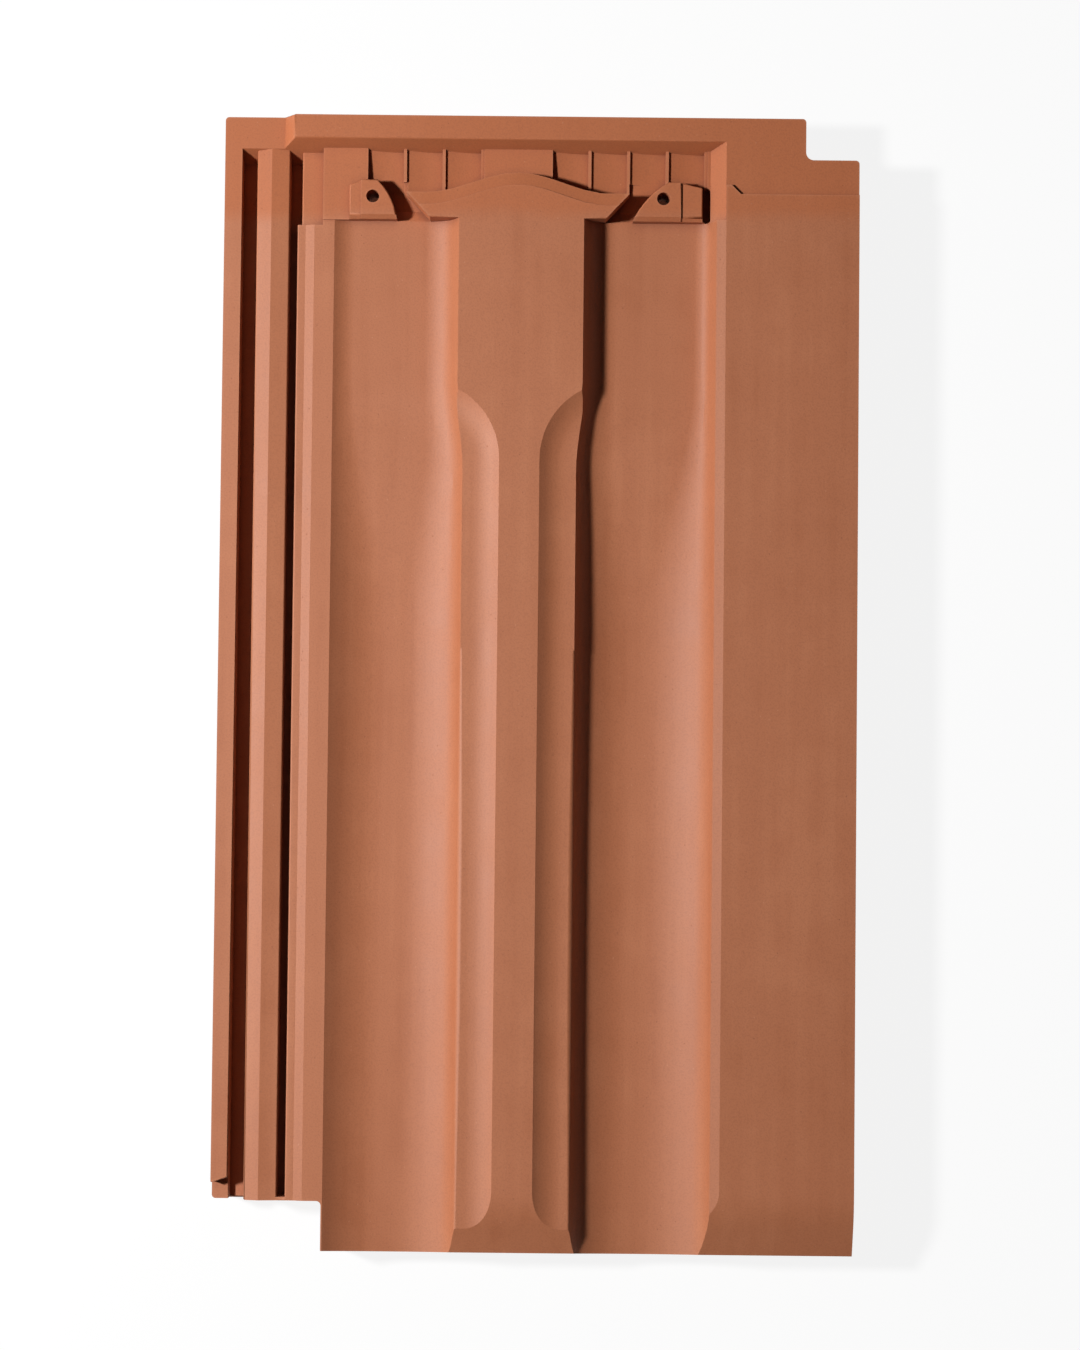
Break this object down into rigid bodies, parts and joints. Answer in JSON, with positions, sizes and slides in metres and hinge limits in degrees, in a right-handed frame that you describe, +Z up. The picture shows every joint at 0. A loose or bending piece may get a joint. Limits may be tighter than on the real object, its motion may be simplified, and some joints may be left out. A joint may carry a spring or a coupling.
{
  "type": "clay roof tile",
  "caption": "Interlocking pressed clay roof tile with pans either side of a central rib, a grooved side lock, a cover flange, a channelled head lock, nail lugs and hanging nibs.",
  "frame": {"origin": "centre of the bounding box's bottom face, on the floor under the tile", "axes": "+X towards the cover flange, +Y towards the head, +Z up through the weather face"},
  "size_m": [0.244, 0.435, 0.0315],
  "materials": {
    "terracotta": "satin engobed fired clay"
  },
  "bodies": {
    "root": {"roof_tile": "terracotta"}
  },
  "joints": []
}
